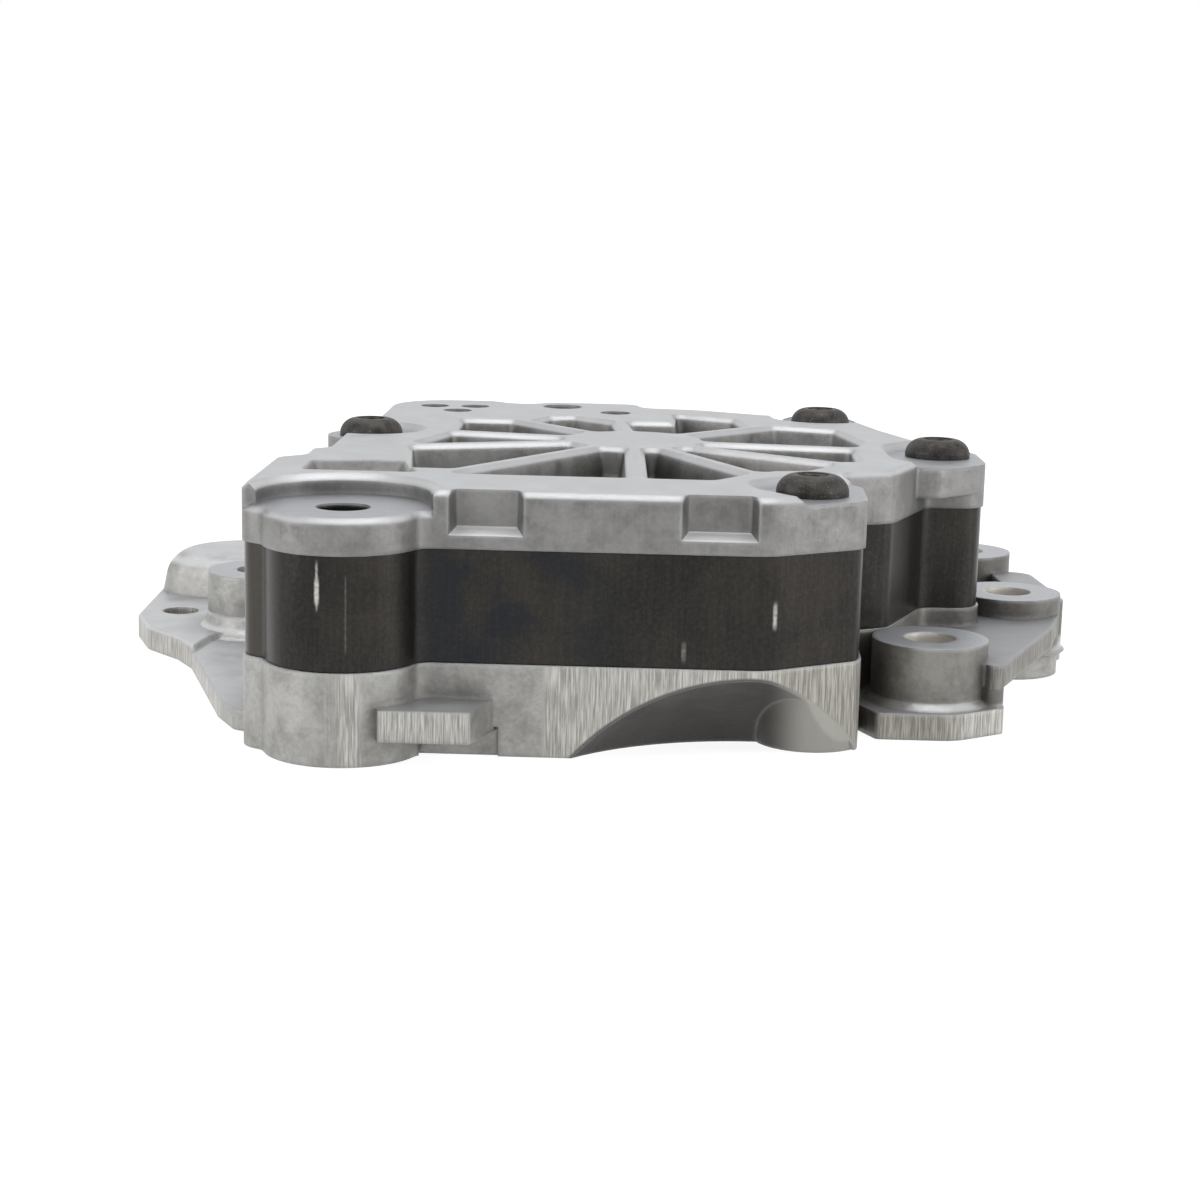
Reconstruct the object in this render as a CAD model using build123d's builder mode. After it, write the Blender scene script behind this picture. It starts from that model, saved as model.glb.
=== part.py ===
"""Engine oil pump: a gerotor pump with a pressure relief valve, in a three-part screwed housing.

Millimetres, +Z up out of the cover. The origin is where the drive shaft's axis meets the
mounting face, which is the flat underside of the base.
"""

import os
from math import cos, pi, sin

from build123d import *

# --- Driving dimensions ---------------------------------------------------------------------

base_height = 15.5          # cast base, up to the face that carries the ring
ring_height = 19.0          # sintered ring that the rotors run in
cover_height = 9.5          # cast cover, up to the tops of its ribs
flange_height = 4.6         # thin mounting flange
face_gap = 0.04             # rotor end clearance, on each side
ring_inset = 0.4            # the ring's flanks stand back from the two castings

ring_bottom = base_height
ring_top = ring_bottom + ring_height
cover_top = ring_top + cover_height

# Housing outline, front left round to the left: x, y and corner radius.
front_y = -75.3
outline_corners = [
    (-63.6, front_y, 5.5),
    (23.0, front_y, 9.0),
    (39.6, -65.0, 4.5),
    (40.1, -49.0, 5.0),
    (36.6, -42.0, 3.0),
    (46.9, -36.6, 4.0),
    (54.9, -17.0, 2.5),
    (66.4, -16.4, 5.5),
    (66.4, 8.0, 8.0),
    (56.0, 8.6, 3.0),
    (50.6, 25.0, 12.0),
    (47.0, 40.0, 2.0),
    (39.0, 48.0, 1.0),
    (27.6, 49.0, 2.0),
    (13.0, 56.4, 12.0),
    (2.2, 57.4, 3.0),
    (0.2, 64.6, 4.5),
    (-19.0, 64.6, 5.0),
    (-25.2, 58.6, 5.0),
    (-31.0, 64.6, 5.0),
    (-53.3, 64.6, 14.0),
    (-53.3, 14.0, 1.0),
    (-56.4, 8.0, 1.0),
    (-56.4, -22.6, 2.0),
    (-59.2, -25.2, 2.0),
    (-59.2, -33.8, 3.0),
    (-63.6, -38.2, 4.0),
]

# Long mounting bolt lobe, front left, and the two round screw lobes: x, y and radius.
bolt_lobe = (-46.6, -72.1, 13.3)
screw_lobes = [(-52.1, 9.4, 8.6), (39.3, 48.1, 8.8)]
lobe_blend = 3.0

# Cover screws (M6 pan head): x and y.
screw_places = [(30.7, -58.4), (58.3, -3.3), (39.3, 46.6), (-52.1, 9.0)]
screw_radius = 3.0
screw_clearance_radius = 3.3
screw_head_radius = 6.15
screw_head_height = 3.4
screw_socket_radius = 2.7
screw_socket_depth = 2.2
screw_head_flat = 3.6
screw_rim = 0.9
screw_crown = (5.4, 2.4)
screw_bottom = 4.0
spotface_radius = 9.4
spotface_depth = 1.5
spotface_slope = 45.0
spotface_runs = [[(38.0, -67.8), (34.9, -54.6)], [(58.6, -16.0), (62.0, 0.5)], [], []]
spotface_z = cover_top - spotface_depth

# Mounting holes through the base (M8), the ear hole (M7) and the bosses round them.
bolt_radius = 4.5
boss_places = {"front_right": (53.5, -44.3), "right": (74.2, 2.6), "back_right": (71.5, 50.0),
               "left": (-73.9, 5.3)}
boss_radius = 10.2
boss_skirt = 1.3            # small cone round the foot of a boss that stands on a flange
ear_hole = (-91.9, 15.6)
ear_hole_radius = 3.6
bolt_lobe_top = 40.5

# Rotor set: seven arc lobes on the outer rotor, six trochoid lobes on the inner one.
outer_lobes = 7
eccentricity = 4.0
lobe_pitch_radius = 39.5
lobe_radius = 11.0
mesh_gap = 0.10
inner_lobes = outer_lobes - 1
points_per_lobe = 30
root_radius = lobe_pitch_radius - lobe_radius + 2 * eccentricity + 0.15
rotor_radius = 42.0
rotor_gap = 0.06
rotor_axis = (0.0, -eccentricity)
rotor_bottom = ring_bottom + face_gap
rotor_height = ring_height - 2 * face_gap

# Shaft and its bearings.
shaft_radius = 8.0
shaft_gap = 0.04
bush_wall = 2.0
shaft_mouth_radius = 8.5
shaft_bottom = 0.8
shaft_top = 41.0
bush_radius = shaft_radius + shaft_gap + bush_wall
pin_radius = 2.5
pin_length = 26.0
pin_z = rotor_bottom + pin_radius + 0.2   # clear of the base's face
socket_across_flats = 9.0
socket_depth = 12.0
clip_groove_radius = 7.4
clip_radius = 10.2
clip_thickness = 1.2
clip_recess_radius = 11.0
clip_recess_depth = 2.0
clip_opening = 5.0
clip_z = rotor_bottom + rotor_height - 1.7
shaft_chamfer = 0.6
base_bush_bottom = 3.0

# Relief valve, bored along X through the ring.
valve_y = 52.0
valve_z = ring_bottom + 0.5 * ring_height
piston_radius = 5.99
valve_radius = 6.03
valve_seat_x = -12.0
valve_seat_length = 3.0
valve_seat_hole = 4.0
valve_end_x = -3.0
piston_length = 16.0
piston_bore = 4.6
piston_crown = 4.0
piston_chamfer = 0.6
seat_gap = 0.05
plug_thread_radius = 7.0
plug_face_x = -51.5
plug_mouth_x = -60.0
plug_face_gap = 0.8
plug_inner_x = -43.5
plug_head_radius = 8.6
plug_head_length = 5.0
plug_socket_radius = 4.0
plug_socket_depth = 4.0
plug_head_chamfer = 1.0
washer_thickness = 1.2
seat_flange = 1.0
seat_flange_radius = 5.0
seat_peg = 1.5
seat_peg_radius = 2.5
spring_wire = 0.8
spring_radius = 3.6
spring_turns = 6
spring_flats = 6            # the wire is drawn as a hexagon

# Oil holes drilled down from the cover: x, y and radius.
vent_holes = [(-43.6, 51.7, 3.0), (-34.9, 52.3, 3.0), (-38.0, 43.6, 3.0)]
spill_hole = (-16.1, 55.7, 4.2)
sense_hole = (-4.4, 45.9, 3.2)

# Cover pockets: the field that is cored out, the hub and the ribs left standing in it.
pocket_floor = cover_top - 5.5
hub_radius = 14.0
rib_width = 3.5
rib_reach = 90.0
rib_angles = [47, 96, 129.5, 168.4, 200.9, 238.3, 271.2, 296, 323.5, 353]
pocket_field = [
    (-32.5, -47.3), (-34.5, -53.6), (14.0, -54.0), (20.4, -44.6), (24.8, -40.6), (30.6, -39.2),
    (35.4, -32.0), (37.0, -26.0), (41.2, -25.0), (41.6, -6.0), (44.4, 4.6), (40.6, 24.0),
    (28.0, 28.6), (22.6, 27.6), (20.4, 39.0), (8.4, 46.0), (8.0, 30.6), (-4.0, 29.6),
    (-13.4, 38.0), (-17.6, 36.0), (-21.0, 28.0), (-35.4, 28.0), (-35.4, 6.0), (-41.6, -14.0),
    (-38.2, -47.3),
]
pocket_corner = 1.4
ledge = [
    (36.0, -36.0, 1.0), (46.4, -36.0, 1.0), (49.4, -23.7, 2.0), (56.6, -23.7, 5.0),
    (66.4, -13.4, 6.0), (66.4, -4.0, 1.0), (36.0, -4.0, 1.0),
]
ledge_z = 37.3
pocket_draft = 8.0          # degrees that the cored walls lean back
edge_break = 0.9            # the cast top edges are broken by this much
side_pocket = [
    (-56.4, -53.8, 1.5), (-36.2, -54.0, 1.5), (-40.2, -40.0, 2.5), (-46.0, -38.4, 3.0),
    (-56.4, -41.0, 2.5),
]
side_pocket_depth = 2.2
side_pocket_draft = 30.0
bolt_seat_radius = 14.4
bolt_seat_sides = (-70.0, -31.6)
seat_rim = 1.2              # slope round the top of the seat's wall
front_windows = [(-29.2, -16.9), (8.6, 21.2)]
window_depth = 2.8
window_sill_z = 36.7
window_draft = 24.0

# Base: the ear and the flange at its feet, the web and the dome (x, y and corner radius).
left_ear = [
    (-58.0, -66.0, 1.0), (-66.6, -62.6, 3.0), (-71.0, -54.0, 4.0), (-83.2, -17.0, 9.0),
    (-87.4, -9.6, 4.0), (-95.0, -1.0, 7.0), (-100.0, 12.0, 9.0), (-102.0, 62.0, 22.0),
    (-60.0, 69.0, 10.0), (-30.0, 60.0, 1.0), (-30.0, -40.0, 1.0),
]
ear_hollow = [
    (-86.0, -34.0, 1.0), (-82.6, -16.0, 3.0), (-81.0, -4.6, 5.0), (-40.0, -4.0, 1.0),
    (-40.0, -80.0, 1.0), (-86.0, -80.0, 1.0),
]
ear_hollow_depth = 0.9
ear_hollow_slope = 45.0
flange_break = 0.6
right_foot = [
    (36.0, -40.0, 1.0), (43.4, -57.0, 1.0), (57.0, -57.0, 8.0), (66.2, -50.6, 1.5),
    (66.2, -44.0, 1.5), (57.0, -30.0, 4.0), (50.0, -16.0, 1.0),
]
back_foot = [
    (40.0, 8.0, 1.0), (66.0, -6.0, 1.0), (84.4, 2.0, 1.0), (81.6, 50.0, 1.0), (71.0, 60.0, 1.0),
    (30.0, 52.0, 1.0),
]
web = [
    (48.0, -34.0, 1.0), (58.0, -50.0, 1.0), (66.2, -49.0, 1.0), (80.2, -15.0, 2.0),
    (84.4, 2.0, 1.0), (70.0, 8.0, 1.0), (54.0, -8.0, 1.0),
]
web_bottom = 8.0
web_top = 12.0
corner_post = (64.4, -48.6, 1.8)
dome = [(-100.4, 33.6, 8.0), (-46.0, 14.0, 8.0), (-44.0, 58.0, 8.0), (-101.2, 58.0, 17.0)]
dome_bottom = flange_height - flange_break
dome_height = 13.4
dome_lean = 12.0
dome_round = 6.0
bridge = [(83.0, 14.0), (81.0, 40.0)]
bridge_radius = 4.2
bridge_height = 12.0

# Scallop in the front of the base, a ball cut out from below, and the screw column beside it,
# a cone that widens upwards until the housing's wall cuts it off in a slanting ridge.
scallop_centre = (22.0, -100.7, -26.5)
scallop_radius = 47.7
column_place = (31.6, -57.8)
column_radius = 9.6
column_head_radius = 15.2
front_tab = [(-43.0, -74.3), (-39.3, -85.2), (-24.7, -85.2), (-21.0, -74.3)]
tab_bottom = 4.4
tab_top = 9.6
undercut = (-38.0, -20.6)   # shallow recess in the wall below the tab
undercut_depth = 0.8
undercut_top = 5.0

# Oil ways in the base: kidney ports under the rotors, passages and the two round openings.
port_radius = 30.0
port_width = 10.0
port_centre = (0.0, -2.0)
port_depth = 9.0
port_spread = 62.0
passage_bottom = 4.0
passage_top = 11.0
inlet_passage = [(-30.0, 16.0), (-80.0, 48.0)]
inlet_passage_width = 13.0
inlet_radius = 10.0
inlet_seal_radius = 12.6
outlet_passage = [(29.0, 11.0), (40.0, 20.0)]
outlet_passage_width = 10.0
outlet_radius = 6.5
outlet_seal_radius = 8.6
seal_width = 1.8
seal_height = 1.9
seal_places = [(inlet_passage[1], inlet_seal_radius), (outlet_passage[1], outlet_seal_radius)]
feed_groove = [(15.0, 26.0), (-7.0, 52.0)]
feed_groove_width = 6.0
feed_groove_depth = 5.0

# Dowels that line the three housing parts up: x and y.
dowel_places = [(-46.0, -46.0), (37.0, 37.0)]
dowel_radius = 3.0
dowel_reach = 4.5

cover_bush_depth = 7.0
down_up = (Align.CENTER, Align.CENTER, Align.MIN)


def rounded_face(corners):
    """Face of a closed outline whose corners each have their own radius."""
    with BuildSketch() as plan:
        with BuildLine():
            Polyline(*[(x, y) for x, y, radius in corners], close=True)
        make_face()
        for x, y, radius in corners:
            fillet(plan.vertices().sort_by_distance((x, y))[0], radius)
    return plan.sketch


def outline(inset=0.0):
    """Plan outline of the three housing parts, at its full size or set in by inset."""
    with BuildSketch() as plan:
        add(rounded_face(outline_corners))
        for x, y, radius in [bolt_lobe] + screw_lobes:
            with Locations((x, y)):
                Circle(radius)
        # Growing the face and shrinking it back rounds the hollows between wall and lobes.
        offset(amount=lobe_blend, kind=Kind.ARC, mode=Mode.REPLACE)
        offset(amount=-lobe_blend - inset, kind=Kind.ARC, mode=Mode.REPLACE)
    return plan.sketch


def slot(start, end, width):
    """Round-ended slot between two centres."""
    with BuildLine() as path:
        Line(start, end)
    with BuildSketch() as plan:
        SlotArc(path.edges()[0], width)
    return plan.sketch


def kidney(middle):
    """Kidney port round the rotors' axis, with its middle at an angle in degrees."""
    with BuildLine() as path:
        CenterArc(port_centre, port_radius, middle - port_spread, 2 * port_spread)
    with BuildSketch() as plan:
        SlotArc(path.edges()[0], port_width)
    return plan.sketch


def save(piece, name):
    """Label a finished piece and write it as a STEP file."""
    piece.part.label = name
    export_step(piece.part, f"parts/{name}.step")


os.makedirs("parts", exist_ok=True)
housing_plan = outline()
ring_plan = outline(ring_inset)

# --- Cover ----------------------------------------------------------------------------------

with BuildSketch() as pockets:
    with BuildLine():
        Polyline(*pocket_field, close=True)
    make_face()
    Circle(hub_radius, mode=Mode.SUBTRACT)
    for angle in rib_angles:
        with Locations(Rotation(0, 0, angle)):
            Rectangle(rib_reach, rib_width, align=(Align.MIN, Align.CENTER), mode=Mode.SUBTRACT)
    # Shrinking the openings and growing them back rounds their corners.
    offset(amount=-pocket_corner, kind=Kind.ARC, mode=Mode.REPLACE)
    offset(amount=pocket_corner, kind=Kind.ARC, mode=Mode.REPLACE)

with BuildPart() as cover:
    with BuildSketch(Plane.XY.offset(ring_top)):
        add(housing_plan)
    extrude(amount=ledge_z - ring_top)
    # From here up a ledge fills the hollow in front of the second screw.
    with BuildSketch(Plane.XY.offset(ledge_z)):
        add(housing_plan)
        add(rounded_face(ledge))
    extrude(amount=cover_top - ledge_z)
    with BuildSketch(Plane.XY.offset(cover_top)):
        add(pockets.sketch)
    extrude(amount=pocket_floor - cover_top, taper=pocket_draft, mode=Mode.SUBTRACT)
    chamfer(cover.edges().filter_by_position(Axis.Z, cover_top, cover_top), edge_break)
    # Shallow pocket beside the long bolt's lobe.
    with BuildSketch(Plane.XY.offset(cover_top)):
        add(rounded_face(side_pocket))
    extrude(amount=-side_pocket_depth, taper=side_pocket_draft, mode=Mode.SUBTRACT)
    # Seat of the long mounting bolt, sunk below the ribs and open to the front.
    with BuildSketch(Plane.XY.offset(cover_top)):
        with Locations(bolt_lobe[:2]):
            Circle(bolt_seat_radius)
        with Locations((bolt_seat_sides[0], bolt_lobe[1])):
            Rectangle(bolt_seat_sides[1] - bolt_seat_sides[0], 2 * bolt_seat_radius,
                      align=(Align.MIN, Align.MAX))
    extrude(amount=bolt_lobe_top - cover_top, mode=Mode.SUBTRACT)
    lobe_rim = cover.edges().filter_by_position(Axis.Z, bolt_lobe_top, bolt_lobe_top)
    lobe_rim = lobe_rim.filter_by(GeomType.CIRCLE)
    chamfer(lobe_rim.filter_by_position(Axis.Y, -100, bolt_lobe[1] - 1), edge_break)
    with Locations((bolt_lobe[0], bolt_lobe[1], cover_top - seat_rim)):
        Cone(bolt_seat_radius, bolt_seat_radius + seat_rim, seat_rim, align=down_up,
             mode=Mode.SUBTRACT)
    # Spot faces for the screw heads, with sloping walls; the first two screws' faces run out
    # over the edge of the cover.
    for number, runs in enumerate(spotface_runs):
        with BuildSketch(Plane.XY.offset(cover_top)):
            with Locations(screw_places[number]):
                Circle(spotface_radius + spotface_depth)
            for end in runs:
                add(slot(screw_places[number], end, 2 * (spotface_radius + spotface_depth)))
        extrude(amount=-spotface_depth, taper=spotface_slope, mode=Mode.SUBTRACT)
    # Two windows sunk in the front wall, narrower towards the back.
    for left, right in front_windows:
        with BuildSketch(Plane.XZ.offset(-front_y)):
            with Locations((left, window_sill_z)):
                Rectangle(right - left, 2 * cover_height, align=(Align.MIN, Align.MIN))
        extrude(amount=-window_depth, taper=window_draft, mode=Mode.SUBTRACT)
    # Holes for the screws, the mounting bolt, the oil drillings and the shaft's bush.
    with Locations(*[(x, y, ring_top) for x, y in screw_places]):
        Cylinder(screw_clearance_radius, 3 * cover_height, mode=Mode.SUBTRACT)
    with Locations((bolt_lobe[0], bolt_lobe[1], ring_top)):
        Cylinder(bolt_radius, 3 * cover_height, mode=Mode.SUBTRACT)
    for x, y, radius in vent_holes + [spill_hole, sense_hole]:
        with Locations((x, y, ring_top)):
            Cylinder(radius, 3 * cover_height, mode=Mode.SUBTRACT)
    with Locations((0, 0, ring_top)):
        Cylinder(bush_radius, cover_bush_depth, align=down_up, mode=Mode.SUBTRACT)
    with Locations(*[(x, y, ring_top) for x, y in dowel_places]):
        Cylinder(dowel_radius, dowel_reach, align=down_up, mode=Mode.SUBTRACT)

save(cover, "cover")

# --- Ring that the rotors run in --------------------------------------------------------------

with BuildPart() as rotor_housing:
    with BuildSketch(Plane.XY.offset(ring_bottom)):
        add(ring_plan)
        with Locations(rotor_axis):
            Circle(rotor_radius + rotor_gap, mode=Mode.SUBTRACT)
        with Locations(*screw_places):
            Circle(screw_clearance_radius, mode=Mode.SUBTRACT)
        with Locations(bolt_lobe[:2]):
            Circle(bolt_radius, mode=Mode.SUBTRACT)
        with Locations(*dowel_places):
            Circle(dowel_radius, mode=Mode.SUBTRACT)
    extrude(amount=ring_height)
    # Relief valve: a bore from the left flank, its threaded mouth and the plug's spot face.
    for start, end, radius in [(plug_inner_x - 1, valve_seat_x + valve_seat_length, valve_radius),
                               (plug_mouth_x, plug_inner_x, plug_thread_radius),
                               (plug_mouth_x, plug_face_x, plug_head_radius + plug_face_gap),
                               (valve_seat_x, valve_end_x, valve_seat_hole)]:
        with BuildSketch(Plane.YZ.offset(start)):
            with Locations((valve_y, valve_z)):
                Circle(radius)
        extrude(amount=end - start, mode=Mode.SUBTRACT)
    # Drillings down from the cover into the bore, and the feed up from the base.
    for x, y, radius in vent_holes + [spill_hole, sense_hole]:
        with Locations((x, y, valve_z)):
            Cylinder(radius, ring_height, align=down_up, mode=Mode.SUBTRACT)
    with Locations((feed_groove[1][0], feed_groove[1][1], ring_bottom)):
        Cylinder(0.5 * feed_groove_width, 0.5 * ring_height, align=down_up, mode=Mode.SUBTRACT)

save(rotor_housing, "rotor_housing")

# --- Base -----------------------------------------------------------------------------------

with BuildPart() as column:
    with BuildSketch():
        add(housing_plan)
    extrude(amount=base_height)
    with Locations(column_place):
        Cone(column_radius, column_head_radius, base_height, align=down_up, mode=Mode.INTERSECT)

with BuildPart() as ear:
    with BuildSketch():
        add(rounded_face(left_ear))
    extrude(amount=flange_height)
    chamfer(ear.edges().filter_by_position(Axis.Z, flange_height, flange_height), flange_break)
    # The front of the ear is sunk a little, down a short slope.
    with BuildSketch(Plane.XY.offset(flange_height)):
        add(rounded_face(ear_hollow))
    extrude(amount=-ear_hollow_depth, taper=ear_hollow_slope, mode=Mode.SUBTRACT)

with BuildPart() as base_housing:
    with BuildSketch():
        add(housing_plan)
    extrude(amount=base_height)
    # Ball-shaped scallop in the front wall, and the screw column that stands beside it.
    with Locations(scallop_centre):
        Sphere(scallop_radius, mode=Mode.SUBTRACT)
    add(column.part)
    # Ear, feet and web round the body.
    add(ear.part)
    for corners in (right_foot, back_foot):
        with BuildSketch():
            add(rounded_face(corners))
        extrude(amount=flange_height)
    with BuildSketch(Plane.XY.offset(web_bottom)):
        add(rounded_face(web))
    extrude(amount=web_top - web_bottom)
    with Locations(corner_post[:2]):
        Cylinder(corner_post[2], web_top, align=down_up)
    # Shallow recess in the front wall, and the tab cast above it.
    with BuildSketch():
        with Locations((undercut[0], front_y)):
            Rectangle(undercut[1] - undercut[0], 2 * undercut_depth, align=(Align.MIN, Align.CENTER))
    extrude(amount=undercut_top, mode=Mode.SUBTRACT)
    with BuildSketch(Plane.XY.offset(tab_bottom)):
        with BuildLine():
            Polyline(*front_tab, close=True)
        make_face()
    extrude(amount=tab_top - tab_bottom)
    # Bosses for the mounting bolts.
    with Locations(*boss_places.values()):
        Cylinder(boss_radius, base_height, align=down_up)
    with Locations(*[(x, y, flange_height) for x, y in boss_places.values()]):
        Cone(boss_radius + boss_skirt, boss_radius, boss_skirt, align=down_up)

with BuildPart() as dome_body:
    with BuildSketch(Plane.XY.offset(dome_bottom)):
        add(rounded_face(dome))
    extrude(amount=dome_height - dome_bottom, taper=dome_lean)
    fillet(dome_body.edges().filter_by_position(Axis.Z, dome_height, dome_height), dome_round)

with base_housing:
    add(dome_body.part)
    # Low rib between the two bosses on the right.
    with BuildSketch():
        add(slot(*bridge, 2 * bridge_radius))
    extrude(amount=bridge_height)
    # Bolt, ear, screw and dowel holes.
    with Locations(*boss_places.values(), bolt_lobe[:2]):
        Cylinder(bolt_radius, 2 * base_height + 1, mode=Mode.SUBTRACT)
    with Locations(ear_hole):
        Cylinder(ear_hole_radius, 2 * base_height + 1, mode=Mode.SUBTRACT)
    with Locations(*[(x, y, screw_bottom) for x, y in screw_places]):
        Cylinder(screw_radius, base_height, align=down_up, mode=Mode.SUBTRACT)
    with Locations(*[(x, y, base_height - dowel_reach) for x, y in dowel_places]):
        Cylinder(dowel_radius, base_height, align=down_up, mode=Mode.SUBTRACT)
    # Kidney ports in the face under the rotors, and the groove that feeds the valve.
    with BuildSketch(Plane.XY.offset(base_height)):
        add(kidney(0))
        add(kidney(180))
    extrude(amount=-port_depth, mode=Mode.SUBTRACT)
    with BuildSketch(Plane.XY.offset(base_height)):
        add(slot(*feed_groove, feed_groove_width))
    extrude(amount=-feed_groove_depth, mode=Mode.SUBTRACT)
    # Passages from the ports out to the round openings in the mounting face.
    with BuildSketch(Plane.XY.offset(passage_bottom)):
        add(slot(*inlet_passage, inlet_passage_width))
        add(slot(*outlet_passage, outlet_passage_width))
    extrude(amount=passage_top - passage_bottom, mode=Mode.SUBTRACT)
    with Locations(inlet_passage[1]):
        Cylinder(inlet_radius, passage_bottom + 1, align=down_up, mode=Mode.SUBTRACT)
    with Locations(outlet_passage[1]):
        Cylinder(outlet_radius, passage_bottom + 1, align=down_up, mode=Mode.SUBTRACT)
    # Grooves for the seals round both openings.
    for place, radius in seal_places:
        with BuildSketch():
            with Locations(place):
                Circle(radius + 0.5 * seal_width)
                Circle(radius - 0.5 * seal_width, mode=Mode.SUBTRACT)
        extrude(amount=seal_height, mode=Mode.SUBTRACT)
    # Bore for the shaft's bush, open below for the drive.
    Cylinder(shaft_mouth_radius, 2 * base_height + 1, mode=Mode.SUBTRACT)
    with Locations((0, 0, base_bush_bottom)):
        Cylinder(bush_radius, base_height, align=down_up, mode=Mode.SUBTRACT)

save(base_housing, "base_housing")

# --- Rotor set ------------------------------------------------------------------------------


def trochoid_point(turn):
    """Where a lobe of the outer rotor bears on the inner one, seen from the inner rotor.

    The lobe's centre runs on an epitrochoid. The contact lies on the line from that centre to
    the point where the two pitch circles roll on each other, one lobe radius along it.
    """
    swing = outer_lobes * turn
    lobe = Vector(-lobe_pitch_radius * sin(turn) - eccentricity * sin(swing),
                  -lobe_pitch_radius * cos(turn) - eccentricity * cos(swing))
    pitch = Vector(sin(swing), cos(swing)) * eccentricity * inner_lobes
    return lobe + (pitch - lobe).normalized() * (lobe_radius + mesh_gap)


with BuildPart() as inner_rotor:
    steps = inner_lobes * points_per_lobe
    with BuildSketch(Plane.XY.offset(rotor_bottom)):
        with BuildLine():
            for step in range(0, steps, 2):
                ThreePointArc(*[trochoid_point(2 * pi * (step + half) / steps) for half in range(3)])
        make_face()
    extrude(amount=rotor_height)
    with Locations((0, 0, rotor_bottom)):
        Cylinder(shaft_radius, ring_height, align=down_up, mode=Mode.SUBTRACT)
    # Slot across the lower face for the drive pin, and the snap ring's recess above.
    with BuildSketch(Plane.XY.offset(rotor_bottom)):
        Rectangle(pin_length, 2 * pin_radius)
    extrude(amount=pin_z - rotor_bottom, mode=Mode.SUBTRACT)
    with Locations(Location((0, 0, pin_z), (0, 90, 0))):
        Cylinder(pin_radius, pin_length, mode=Mode.SUBTRACT)
    with Locations((0, 0, rotor_bottom + rotor_height - clip_recess_depth)):
        Cylinder(clip_recess_radius, ring_height, align=down_up, mode=Mode.SUBTRACT)

save(inner_rotor, "inner_rotor")

with BuildPart() as outer_rotor:
    with BuildSketch(Plane.XY.offset(rotor_bottom)):
        with Locations(rotor_axis):
            Circle(rotor_radius)
            Circle(root_radius, mode=Mode.SUBTRACT)
        with Locations(rotor_axis):
            with PolarLocations(lobe_pitch_radius, outer_lobes, start_angle=-90):
                Circle(lobe_radius)
        with Locations(rotor_axis):
            Circle(rotor_radius, mode=Mode.INTERSECT)
    extrude(amount=rotor_height)

save(outer_rotor, "outer_rotor")

# --- Shaft, its drive pin, snap ring and bushes -----------------------------------------------

with BuildPart() as drive_shaft:
    with Locations((0, 0, shaft_bottom)):
        Cylinder(shaft_radius, shaft_top - shaft_bottom, align=down_up)
    chamfer(drive_shaft.edges().filter_by(GeomType.CIRCLE), shaft_chamfer)
    # Hexagon socket that the engine's drive enters from below.
    with BuildSketch(Plane.XY.offset(shaft_bottom)):
        RegularPolygon(0.5 * socket_across_flats, 6, major_radius=False)
    extrude(amount=socket_depth, mode=Mode.SUBTRACT)
    # Cross hole for the pin and groove for the snap ring.
    with Locations(Location((0, 0, pin_z), (0, 90, 0))):
        Cylinder(pin_radius, 3 * shaft_radius, mode=Mode.SUBTRACT)
    with BuildSketch(Plane.XY.offset(clip_z)):
        Circle(shaft_radius + 1)
        Circle(clip_groove_radius, mode=Mode.SUBTRACT)
    extrude(amount=clip_thickness, mode=Mode.SUBTRACT)

save(drive_shaft, "drive_shaft")

with BuildPart() as drive_pin:
    with Locations(Location((0, 0, pin_z), (0, 90, 0))):
        Cylinder(pin_radius, pin_length)

save(drive_pin, "drive_pin")

with BuildPart() as retaining_ring:
    with BuildSketch(Plane.XY.offset(clip_z)):
        Circle(clip_radius)
        Circle(clip_groove_radius, mode=Mode.SUBTRACT)
        with Locations((0, -clip_radius)):
            Rectangle(clip_opening, clip_radius, mode=Mode.SUBTRACT)
    extrude(amount=clip_thickness)

save(retaining_ring, "retaining_ring")

for name, bottom, length in [("cover_bush", ring_top, cover_bush_depth),
                             ("base_bush", base_bush_bottom, base_height - base_bush_bottom)]:
    with BuildPart() as bush:
        with BuildSketch(Plane.XY.offset(bottom)):
            Circle(bush_radius)
            Circle(shaft_radius + shaft_gap, mode=Mode.SUBTRACT)
        extrude(amount=length)
    save(bush, name)

# --- Relief valve ---------------------------------------------------------------------------


def turned(profile, name):
    """Turn a half profile, points of distance along X and radius, about the valve's axis."""
    with BuildPart() as piece:
        with BuildSketch(Plane.XZ.offset(-valve_y)):
            with BuildLine():
                Polyline(*[(x, valve_z + radius) for x, radius in profile], close=True)
            make_face()
        revolve(axis=Axis((0, valve_y, valve_z), (1, 0, 0)))
    save(piece, name)


piston_front_x = valve_seat_x - seat_gap
piston_back_x = valve_seat_x - piston_length
head_x = plug_face_x - washer_thickness
end_x = head_x - plug_head_length
turned([(valve_seat_x, valve_seat_hole), (valve_seat_x + valve_seat_length, valve_seat_hole),
        (valve_seat_x + valve_seat_length, valve_radius), (valve_seat_x, valve_radius)],
       "valve_seat")
turned([(piston_front_x, 0), (piston_front_x, piston_radius - piston_chamfer),
        (piston_front_x - piston_chamfer, piston_radius), (piston_back_x, piston_radius),
        (piston_back_x, piston_bore), (valve_seat_x - piston_crown, piston_bore),
        (valve_seat_x - piston_crown, 0)], "relief_piston")
turned([(plug_inner_x, 0), (plug_inner_x, plug_thread_radius), (head_x, plug_thread_radius),
        (head_x, plug_head_radius), (end_x + plug_head_chamfer, plug_head_radius),
        (end_x, plug_head_radius - plug_head_chamfer), (end_x, plug_socket_radius),
        (end_x + plug_socket_depth, plug_socket_radius), (end_x + plug_socket_depth, 0)],
       "relief_plug")
turned([(head_x, plug_thread_radius), (head_x, plug_head_radius),
        (plug_face_x, plug_head_radius), (plug_face_x, plug_thread_radius)], "plug_washer")
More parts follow.
